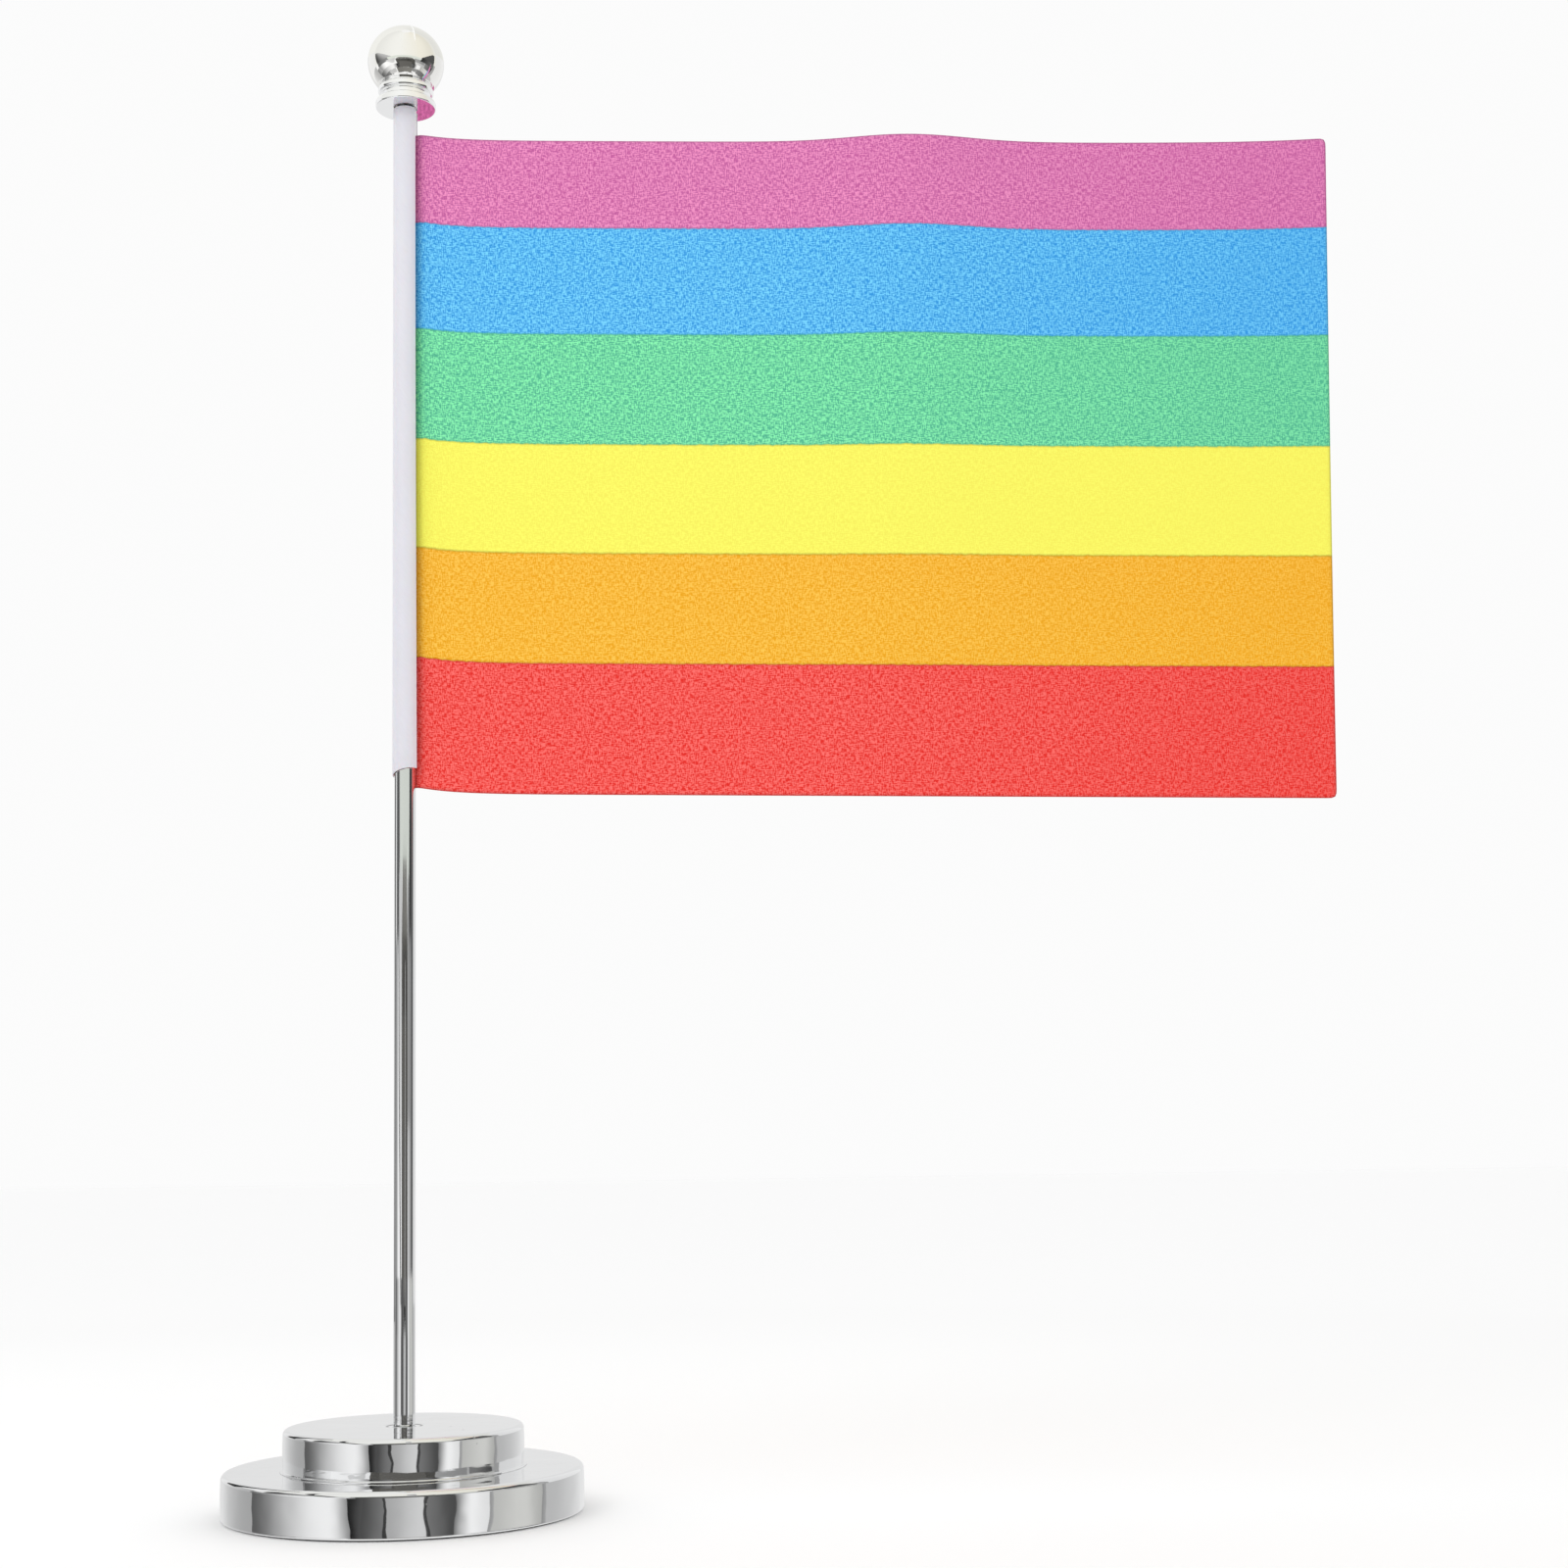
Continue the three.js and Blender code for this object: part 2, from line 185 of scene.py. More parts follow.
def finish_piece(name, bm, material, body, node):
    """Makes a shaded piece that rides on a body and stands for a CAD node."""
    piece = new_object(name, bm, material)
    piece.data.shade_smooth()
    piece.data.set_sharp_from_angle(angle=SHARP_EDGE)
    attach(piece, body)
    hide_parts(node)
    return piece


def keep_flats_flat(piece):
    """Weights the shading by face size, so a wall stays straight beside a small rounding."""
    even = piece.modifiers.new("even shading", "WEIGHTED_NORMAL")
    even.keep_sharp = True


def outline_wire(corners, closed):
    """A wire in the XZ plane through corners (radius, height, rounding), with rounded corners."""
    bm = bmesh.new()
    points = [bm.verts.new((radius, 0, height)) for radius, height, _ in corners]
    for first, second in zip(points, points[1:]):
        bm.edges.new((first, second))
    if closed:
        bm.edges.new((points[-1], points[0]))
    for point, (_, _, rounding) in zip(points, corners):
        if rounding:
            bmesh.ops.bevel(
                bm, geom=[point], offset=rounding, offset_type="OFFSET",
                segments=ROUNDING_STEPS, profile=0.5, affect="VERTICES", material=-1,
            )
    return bm


def turned(corners, sides, closed=True):
    """The solid that an outline makes when it is turned once round the Z axis."""
    bm = outline_wire(corners, closed)
    bmesh.ops.spin(
        bm, geom=bm.verts[:] + bm.edges[:], cent=(0, 0, 0), axis=UP, angle=math.tau,
        steps=sides, use_merge=True,
    )
    bmesh.ops.remove_doubles(bm, verts=bm.verts, dist=MERGE_DISTANCE)
    bmesh.ops.recalc_face_normals(bm, faces=bm.faces)
    return bm


def heights(node):
    low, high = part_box(node)
    return low[2], high[2]


def outer_radius(node):
    low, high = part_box(node)
    return (high[1] - low[1]) / 2


# ---- material helpers


class Nodes:
    """Short ways to add and link shader nodes in one tree."""

    def __init__(self, tree):
        self.tree = tree

    def add(self, kind, values=None, **settings):
        node = self.tree.nodes.new(kind)
        for key, value in settings.items():
            setattr(node, key, value)
        for socket, value in (values or {}).items():
            self.put(node.inputs[socket], value)
        return node

    def put(self, socket, value):
        if isinstance(value, bpy.types.NodeSocket):
            self.tree.links.new(value, socket)
        else:
            socket.default_value = value

    def maths(self, operation, *values):
        node = self.add("ShaderNodeMath", operation=operation)
        for socket, value in zip(node.inputs, values):
            self.put(socket, value)
        return node.outputs[0]

    def times(self, first, second):
        return self.maths("MULTIPLY", first, second)

    def plus(self, first, second):
        return self.maths("ADD", first, second)

    def minus(self, first, second):
        return self.maths("SUBTRACT", first, second)

    def spread(self, value, low, high, to_low, to_high, smooth=False):
        """Maps a value from one range to another, clamped."""
        kind = "SMOOTHSTEP" if smooth else "LINEAR"
        node = self.add("ShaderNodeMapRange", interpolation_type=kind, clamp=True)
        for socket, item in zip(node.inputs, (value, low, high, to_low, to_high)):
            self.put(socket, item)
        return node.outputs["Result"]

    def mix(self, share, first, second, blend="MIX"):
        node = self.add("ShaderNodeMix", data_type="RGBA", blend_type=blend)
        self.put(node.inputs[0], share)
        self.put(node.inputs[6], first)
        self.put(node.inputs[7], second)
        return node.outputs[2]

    def noise(self, vector, scale, detail=2.0, roughness=0.5):
        node = self.add("ShaderNodeTexNoise")
        values = {"Vector": vector, "Scale": scale, "Detail": detail, "Roughness": roughness}
        for socket, value in values.items():
            self.put(node.inputs[socket], value)
        return node.outputs["Fac"]

    def part(self, vector, axis):
        return self.add("ShaderNodeSeparateXYZ", {"Vector": vector}).outputs[axis]

    def stretched(self, vector, scale):
        node = self.add("ShaderNodeMapping", {"Vector": vector, "Scale": scale})
        return node.outputs["Vector"]


def new_group(name, inputs, outputs):
    """An empty shader node group with its named sockets: {name: (kind, default)}."""
    tree = bpy.data.node_groups.new(name, "ShaderNodeTree")
    for socket, (kind, default) in inputs.items():
        item = tree.interface.new_socket(socket, in_out="INPUT", socket_type=kind)
        if default is not None:
            item.default_value = default
    for socket, kind in outputs.items():
        tree.interface.new_socket(socket, in_out="OUTPUT", socket_type=kind)
    nodes = Nodes(tree)
    return nodes, nodes.add("NodeGroupInput").outputs, nodes.add("NodeGroupOutput").inputs


PIN_HOLE_RADIUS = (0.05, 0.10)  # solid and soft edge, in widths of a cell
PIN_HOLE_CHANCE = 0.93  # a cell whose random value is above this has a pin-hole
SMEAR_SCALE = 70.0


def plating_group():
    """Ripples, pin-holes and faint smears that every plated surface has."""
    if "plating" in bpy.data.node_groups:
        return bpy.data.node_groups["plating"]
    nodes, given, out = new_group(
        "plating",
        {
            "Vector": ("NodeSocketVector", None),
            "Ripples": ("NodeSocketFloat", 200.0),
            "Pin-holes": ("NodeSocketFloat", 300.0),
        },
        {"Height": "NodeSocketFloat", "Smear": "NodeSocketFloat", "Pits": "NodeSocketFloat"},
    )
    ripple = nodes.noise(given["Vector"], given["Ripples"], detail=1.0, roughness=0.35)
    cells = nodes.add(
        "ShaderNodeTexVoronoi", {"Vector": given["Vector"], "Scale": given["Pin-holes"]}
    )
    near = nodes.spread(cells.outputs["Distance"], *PIN_HOLE_RADIUS, 1.0, 0.0, smooth=True)
    chance = nodes.add("ShaderNodeSeparateColor", {"Color": cells.outputs["Color"]}).outputs["Red"]
    chosen = nodes.maths("GREATER_THAN", chance, PIN_HOLE_CHANCE)
    pits = nodes.times(near, chosen)
    smear = nodes.noise(nodes.stretched(given["Vector"], (1.0, 1.0, 0.45)), SMEAR_SCALE, 4.0, 0.6)
    nodes.put(out["Height"], nodes.minus(ripple, nodes.times(pits, 0.5)))
    nodes.put(out["Smear"], smear)
    nodes.put(out["Pits"], pits)
    return nodes.tree


def grain_group():
    """Fine mottling and grain for plain, moulded and cast surfaces."""
    if "grain" in bpy.data.node_groups:
        return bpy.data.node_groups["grain"]
    nodes, given, out = new_group(
        "grain",
        {"Vector": ("NodeSocketVector", None), "Size": ("NodeSocketFloat", 800.0)},
        {"Fine": "NodeSocketFloat", "Broad": "NodeSocketFloat"},
    )
    nodes.put(out["Fine"], nodes.noise(given["Vector"], given["Size"], 4.0, 0.6))
    broad_scale = nodes.times(given["Size"], 0.08)
    nodes.put(out["Broad"], nodes.noise(given["Vector"], broad_scale, 2.0))
    return nodes.tree


def new_material(name, **constants):
    """A material with one Principled shader, whose constant values sit on its own sockets."""
    material = bpy.data.materials.new(name)
    material.use_nodes = True
    nodes = Nodes(material.node_tree)
    shader = material.node_tree.nodes["Principled BSDF"]
    for socket, value in constants.items():
        shader.inputs[socket.replace("_", " ")].default_value = value
    return material, nodes, shader


def object_place(nodes):
    return nodes.add("ShaderNodeTexCoord").outputs["Object"]


def paint(nodes, shader, tint, rough):
    nodes.put(shader.inputs["Base Color"], tint)
    nodes.put(shader.inputs["Roughness"], rough)


def add_bump(nodes, shader, height, depth):
    bump = nodes.add("ShaderNodeBump", {"Height": height, "Distance": depth, "Strength": 1.0})
    nodes.put(shader.inputs["Normal"], bump.outputs["Normal"])


def rgba(colour_value, level=1.0):
    return (*(channel * level for channel in colour_value), 1.0)


def chrome_material(name, plate, ripples, ripple_depth, roughness):
    """Polished plating, with soft ripples that bend what it mirrors."""
    material, nodes, shader = new_material(name, Metallic=1.0)
    group = nodes.add("ShaderNodeGroup", node_tree=plating_group())
    nodes.put(group.inputs["Vector"], object_place(nodes))
    group.inputs["Ripples"].default_value = ripples
    pits, smear = group.outputs["Pits"], group.outputs["Smear"]
    smeared = nodes.mix(nodes.spread(smear, 0.35, 0.7, 0, 1), rgba(plate), rgba(plate, 0.965))
    rough = nodes.spread(smear, 0.3, 0.7, roughness * 0.6, roughness * 1.5)
    pitted = nodes.plus(rough, nodes.times(pits, 0.3))
    paint(nodes, shader, nodes.mix(pits, smeared, rgba(plate, 0.4)), pitted)
    add_bump(nodes, shader, group.outputs["Height"], ripple_depth)
    return material


def grained_material(name, tint, size, depth, roughness, contrast=0.15, **constants):
    """A plain surface with fine grain, used for plastic, foam, steel and iron."""
    material, nodes, shader = new_material(name, **constants)
    group = nodes.add("ShaderNodeGroup", node_tree=grain_group())
    nodes.put(group.inputs["Vector"], object_place(nodes))
    group.inputs["Size"].default_value = size
    fine, broad = group.outputs["Fine"], group.outputs["Broad"]
    blend = nodes.times(nodes.plus(fine, broad), 0.5)
    shade = nodes.spread(blend, 0.3, 0.7, 0, 1)
    grained = nodes.mix(shade, rgba(tint, 1 - contrast), rgba(tint, 1 + contrast / 3))
    rough = nodes.spread(fine, 0.3, 0.7, roughness * 0.85, min(1.0, roughness * 1.15))
    paint(nodes, shader, grained, rough)
    add_bump(nodes, shader, fine, depth)
    return material


def paint_line(material, line, tint):
    """Tints a finished material where the mask says."""
    nodes = Nodes(material.node_tree)
    shader = material.node_tree.nodes["Principled BSDF"]
    plain = shader.inputs["Base Color"].links[0].from_socket
    nodes.put(shader.inputs["Base Color"], nodes.mix(line, plain, tint))
    return shader


# ---- base

WALL_STEPS = 10
TIER_GAP = 0.02 * MM
LIP_WIDTH = 0.5 * MM
HOLE_EDGE = 0.1 * MM
DISH_FLOOR = 0.8  # radius of the dish's flat floor, as a share of the dish's


def barrel(radius, low, high, bulge):
    """Corners up a wall that swells very slightly at half height, ends left out."""
    corners = []
    for step in range(1, WALL_STEPS):
        share = step / WALL_STEPS
        swell = bulge * 4 * share * (1 - share)
        corners.append((radius - bulge + swell, low + (high - low) * share, 0))
    return corners


def tier_outlines(settings):
    """Outlines of the two plated cups, each as (radius, height, rounding) corners."""
    wall, bulge = settings.wall, settings.bulge
    lip_height, dish_depth = settings.lip_height, settings.dish_depth
    hole = outer_radius("pole_tube") + CLEARANCE
    lower_low, lower_high = heights("lower_tier_shell")
    lower_radius = outer_radius("lower_tier_shell")
    inside = lower_radius - wall
    ceiling = lower_high - wall
    stud_hole = outer_radius("pole_stud") + CLEARANCE
    foot_round = wall / 3
    wall_top = lower_high - settings.lower_round
    lower = [
        (stud_hole, ceiling, 0),
        (inside, ceiling, wall / 2),
        (inside, lower_low, 0),
        (lower_radius - bulge, lower_low, foot_round),
        *barrel(lower_radius, lower_low + foot_round, wall_top, bulge),
        (lower_radius - bulge, lower_high, settings.lower_round),
        (stud_hole, lower_high, 0),
    ]
    upper_low, upper_high = lower_high + TIER_GAP, heights("upper_tier_shell")[1]
    lip_radius = outer_radius("upper_tier_shell")
    upper_radius = lip_radius - LIP_WIDTH
    upper_inside = upper_radius - wall
    upper_ceiling = upper_high - wall
    lip_top = upper_low + lip_height
    dish_floor = upper_high - dish_depth
    upper = [
        (hole, upper_ceiling, 0),
        (upper_inside, upper_ceiling, wall / 2),
        (upper_inside, upper_low, 0),
        (lip_radius, upper_low, 0),
        (lip_radius, lip_top, lip_height / 2.5),
        (upper_radius - bulge, lip_top, lip_height / 3),
        *barrel(upper_radius, lip_top, upper_high - settings.upper_round, bulge),
        (upper_radius - bulge, upper_high, settings.upper_round),
        (settings.dish_radius, upper_high, dish_depth),
        (settings.dish_radius * DISH_FLOOR, dish_floor, dish_depth),
        (hole + HOLE_EDGE, dish_floor, 0),
        (hole, dish_floor - HOLE_EDGE, 0),
    ]
    return lower, upper


def add_painted_joint_shade(material, radius, top):
    """Paints shade into the fine joint round the pole's bush, as a dark ring in the top face of the
    upper tier.
    """
    nodes = Nodes(material.node_tree)
    place = object_place(nodes)
    level = nodes.add("ShaderNodeVectorMath", {0: place, 1: (1, 1, 0)}, operation="MULTIPLY")
    reach = nodes.add("ShaderNodeVectorMath", {0: level.outputs["Vector"]}, operation="LENGTH")
    away = nodes.maths("ABSOLUTE", nodes.minus(reach.outputs["Value"], radius))
    # Painted shade: a dark ring at the step of the dish round the pole, where the recess would lie
    # in shade.
    ring = nodes.spread(away, 0.15 * MM, 0.35 * MM, 1.0, 0.0, smooth=True)
    height = nodes.part(place, "Z")
    near_top = nodes.maths("GREATER_THAN", height, top - 0.5 * MM)
    line = nodes.times(nodes.times(ring, near_top), 0.9)
    paint_line(material, line, rgba((0.02, 0.02, 0.02)))


class FLAGSTAND_OT_base(bpy.types.Operator):
    """Makes the two plated cups of the base"""

    bl_idname = "flagstand.base"
    bl_label = "Base Tiers"

    def execute(self, context):
        settings = context.scene.flagstand_base
        lower, upper = tier_outlines(settings)
        plain, joint_shaded = (
            chrome_material(name, settings.plate, 170.0, 0.10 * MM, 0.04)
            for name in ("base chrome", "upper chrome")
        )
        dish_floor = settings.dish_radius * DISH_FLOOR
        # Painted shade in the upper tier's dish, round the pole.
        add_painted_joint_shade(joint_shaded, dish_floor, heights("upper_tier_shell")[1])
        for name, corners, chrome in (("lower_tier", lower, plain), ("upper_tier", upper, joint_shaded)):
            tier = turned(corners, settings.sides)
            keep_flats_flat(
                finish_piece(name, tier, chrome, "base", f"{name}_shell")
            )
        return {"FINISHED"}


PAD_SIDES = 160


class FLAGSTAND_OT_inside(bpy.types.Operator):
    """Makes the foot pad, and gives the steel and iron pieces inside the base their finishes"""

    bl_idname = "flagstand.inside"
    bl_label = "Pad and Inner Pieces"

    def execute(self, context):
        foam = grained_material("foot foam", (0.03, 0.03, 0.032), 2500.0, 0.15 * MM, 0.9)
        low, high = heights("foot_pad")
        radius = outer_radius("foot_pad")
        corners = [
            (0, low, 0), (radius, low, 0.3 * MM), (radius, high, 0.2 * MM), (0, high, 0),
        ]
        disc = turned(corners, PAD_SIDES, closed=False)
        finish_piece("pad", disc, foam, "base", "foot_pad")
        steel = grained_material(
            "bare steel", (0.55, 0.56, 0.57), 3000.0, 0.01 * MM, 0.35, Metallic=1.0
        )
        iron = grained_material(
            "cast iron", (0.10, 0.10, 0.105), 900.0, 0.12 * MM, 0.65, 0.4, Metallic=0.8
        )
        finishes = {"plain_steel": steel, "cast_iron": iron}
        for row in frame["record"]["subparts"]:
            material = finishes.get(row["material_slot"])
            if material:
                node = frame["nodes"][row["node"]]
                node.data.materials.clear()
                node.data.materials.append(material)
        return {"FINISHED"}


# ---- pole

STUD_GAP = 0.2 * MM


class FLAGSTAND_OT_pole(bpy.types.Operator):
    """Makes the plated tube"""

    bl_idname = "flagstand.pole"
    bl_label = "Pole"

    def execute(self, context):
        settings = context.scene.flagstand_pole
        low, high = heights("pole_tube")
        radius = outer_radius("pole_tube")
        bore = outer_radius("pole_stud") + STUD_GAP
        end = settings.end_round
        corners = [(bore, low, end), (radius, low, end), (radius, high, end), (bore, high, end)]
        chrome = chrome_material("tube chrome", settings.plate, 260.0, 0.004 * MM, 0.06)
        keep_flats_flat(finish_piece(
            "pole", turned(corners, settings.sides), chrome, "pole", "pole_tube"
        ))
        return {"FINISHED"}


# ---- sleeve

SECTION_STEPS = 40
SLEEVE_ROWS = 36
LIP_LEAN = 0.35  # how far each lip also turns towards the mouth, as a share of its reach
FLARE_CURVE = 1.5  # how late the sleeve opens on its way down
MOUTH_FLARE = 1.5  # how much more it opens along the cloth than across


def sleeve_section(settings, radius):
    """Points of the sleeve's C section, from the back lip round the pole to the front lip."""
    mouth = settings.mouth
    points = []
    for step in range(SECTION_STEPS + 1):
        turn = mouth + (math.tau - 2 * mouth) * step / SECTION_STEPS
        points.append(Vector((math.cos(turn), math.sin(turn), 0)) * radius)
    lip = settings.lip_reach
    back = points[0] + Vector((lip, -LIP_LEAN * lip, 0))
    front = points[-1] + Vector((lip, LIP_LEAN * lip, 0))
    return [back, *points, front]


class FLAGSTAND_OT_sleeve(bpy.types.Operator):
    """Makes the plastic sleeve that clips the cloth to the pole"""

    bl_idname = "flagstand.sleeve"
    bl_label = "Clip Sleeve"

    def execute(self, context):
        settings = context.scene.flagstand_sleeve
        low, high = heights("flag_sleeve")
        bm = bmesh.new()
        middle = settings.top_radius - settings.wall / 2
        points = [bm.verts.new(point) for point in sleeve_section(settings, middle)]
        edges = [bm.edges.new(pair) for pair in zip(points, points[1:])]
        for _ in range(SLEEVE_ROWS):
            made = bmesh.ops.extrude_edge_only(bm, edges=edges)["geom"]
            edges = [item for item in made if isinstance(item, bmesh.types.BMEdge)]
            moved = [item for item in made if isinstance(item, bmesh.types.BMVert)]
            bmesh.ops.translate(bm, verts=moved, vec=UP * ((high - low) / SLEEVE_ROWS))
        flare = settings.foot_radius - settings.top_radius
        for vert in bm.verts:
            share = min(1.0, vert.co.z / (high - low))
            opened = flare * (1 - share) ** FLARE_CURVE
            vert.co.x += MOUTH_FLARE * (vert.co.x / settings.top_radius + 1) * opened
            vert.co.y += vert.co.y / settings.top_radius * opened
            foot = settings.tilt * vert.co.x - settings.slant * vert.co.y - settings.drop
            vert.co.z += low + foot * (1 - share)
        bmesh.ops.recalc_face_normals(bm, faces=bm.faces)
        plastic = sleeve_material(settings.plastic)
        piece = finish_piece("sleeve", bm, plastic, "flag", "flag_sleeve")
        wall = piece.modifiers.new("wall", "SOLIDIFY")
        wall.thickness = settings.wall
        wall.offset = 0
        rounded = piece.modifiers.new("edges", "BEVEL")
        rounded.width = settings.wall / 4
        rounded.segments = 2
        rounded.limit_method = "ANGLE"
        return {"FINISHED"}


def sleeve_material(plastic):
    """Satin white plastic with faint slanting draw marks."""
    material, nodes, shader = new_material(
        "white plastic", Subsurface_Weight=0.12, Subsurface_Scale=1.5 * MM
    )
    place = object_place(nodes)
    slanted = nodes.add(
        "ShaderNodeMapping", {"Vector": place, "Rotation": (0, math.radians(38), 0)}
    ).outputs["Vector"]
    marks = nodes.noise(nodes.stretched(slanted, (1.0, 1.0, 0.12)), 3600.0, 2.0)
    broad = nodes.noise(place, 60.0, 2.0)
    shade = nodes.times(nodes.plus(marks, broad), 0.5)
    lighter = nodes.spread(shade, 0.3, 0.7, 0, 1)
    tint = nodes.mix(lighter, rgba(plastic, 0.97), rgba(plastic, 1.03))
    paint(nodes, shader, tint, nodes.spread(marks, 0.3, 0.7, 0.32, 0.46))
    add_bump(nodes, shader, marks, 0.006 * MM)
    return material


# ---- flag

# Stripes from the top, as (name, height in millimetres). The print sits a little high on the cloth,
# so the first stripe is cut short and the last one is left long.
STRIPES = (
    ("pink", 19.1),
    ("blue", 23.1),
    ("green", 23.7),
    ("yellow", 23.3),
    ("orange", 23.3),
    ("red", 27.5),
)
CLOTH_PLACE = "cloth place"
COLUMNS = 100
ROWS = 70
CLOTH_GAP = 0.075 * MM  # between the pole and the middle of the cloth wrapped round it
LEAVE_TURN = math.radians(24)  # where the cloth lets go of the pole
MOUTH_LENGTH = 1.4 * MM  # cloth between there and the sleeve's mouth
HEM_GAP = 0.15 * MM  # the cut edge stays this far inside the cloth's place
SAG_LENGTH = 7 * MM
FOLD_PLACE = 104 * MM
FOLD_WIDTH = 17 * MM
CURL_LENGTH = 16 * MM
THREAD_PAIR = 0.34 * MM
PRINT_BLEED = 0.12 * MM


def hoist_path(along, pole, margin, leave_x):
    """Plan position of the cloth in the sleeve: round the back of the pole, out of the mouth."""
    wrap = pole + CLOTH_GAP
    wrapped = margin - MOUTH_LENGTH
    if along <= wrapped:
        turn = LEAVE_TURN + (wrapped - along) / wrap
        return Vector((wrap * math.cos(turn), wrap * math.sin(turn), 0))
    share = (along - wrapped) / (margin - wrapped)
    start = Vector((wrap * math.cos(LEAVE_TURN), wrap * math.sin(LEAVE_TURN), 0))
    ease = share * share * (3 - 2 * share)
    return Vector((start.x + (leave_x - start.x) * share, start.y * (1 - ease), 0))


def fly_shape(settings, from_hoist, above_hem, span):
    """Offsets of the free cloth: (lean along X, swell along Y, sag along Z)."""
    slope = settings.fly_droop / span
    lean = -settings.fly_lean * (1 - above_hem / settings.height) * from_hoist / span
    sag = settings.hoist_sag * (1 - math.exp(-from_hoist / SAG_LENGTH)) + slope * from_hoist
    fold = settings.fold_depth * math.exp(-(((from_hoist - FOLD_PLACE) / FOLD_WIDTH) ** 2))
    curl = settings.fly_curl * math.exp((from_hoist - span) / CURL_LENGTH)
    fade = (above_hem / settings.height) ** 1.6
    return Vector((lean, -(fold + curl) * fade, -sag))


class FLAGSTAND_OT_flag(bpy.types.Operator):
    """Makes the striped cloth, held by its hoist margin inside the sleeve"""

    bl_idname = "flagstand.flag"
    bl_label = "Flag"

    def execute(self, context):
        settings = context.scene.flagstand_flag
        pole = outer_radius("pole_tube")
        low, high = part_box("flag_cloth")
        top = high[2]
        free = high[0] - low[0] - HEM_GAP
        margin = settings.length - free
        bm = bmesh.new()
        bmesh.ops.create_grid(bm, x_segments=COLUMNS, y_segments=ROWS, size=0.5)
        place = bm.loops.layers.uv.new(CLOTH_PLACE)
        for face in bm.faces:
            for loop in face.loops:
                x, y = loop.vert.co.x + 0.5, loop.vert.co.y + 0.5
                loop[place].uv = (x * settings.length, y * settings.height)
        start = hoist_path(margin, pole, margin, low[0])
        for vert in bm.verts:
            along = (vert.co.x + 0.5) * settings.length
            above = (vert.co.y + 0.5) * settings.height
            z = top - settings.height + above
            if along <= margin:
                vert.co = hoist_path(along, pole, margin, low[0]) + UP * z
            else:
                offset = fly_shape(settings, along - margin, above, free)
                vert.co = start + Vector((along - margin, 0, z)) + offset
        bmesh.ops.recalc_face_normals(bm, faces=bm.faces)
        printed = flag_material(settings)
        piece = finish_piece("flag", bm, printed, "flag", "flag_cloth")
        smooth = piece.modifiers.new("smooth", "SUBSURF")
        smooth.levels = 1
        smooth.render_levels = 1
        weight = piece.modifiers.new("weight", "SOLIDIFY")
        weight.thickness = settings.thickness
        weight.offset = 0
        return {"FINISHED"}


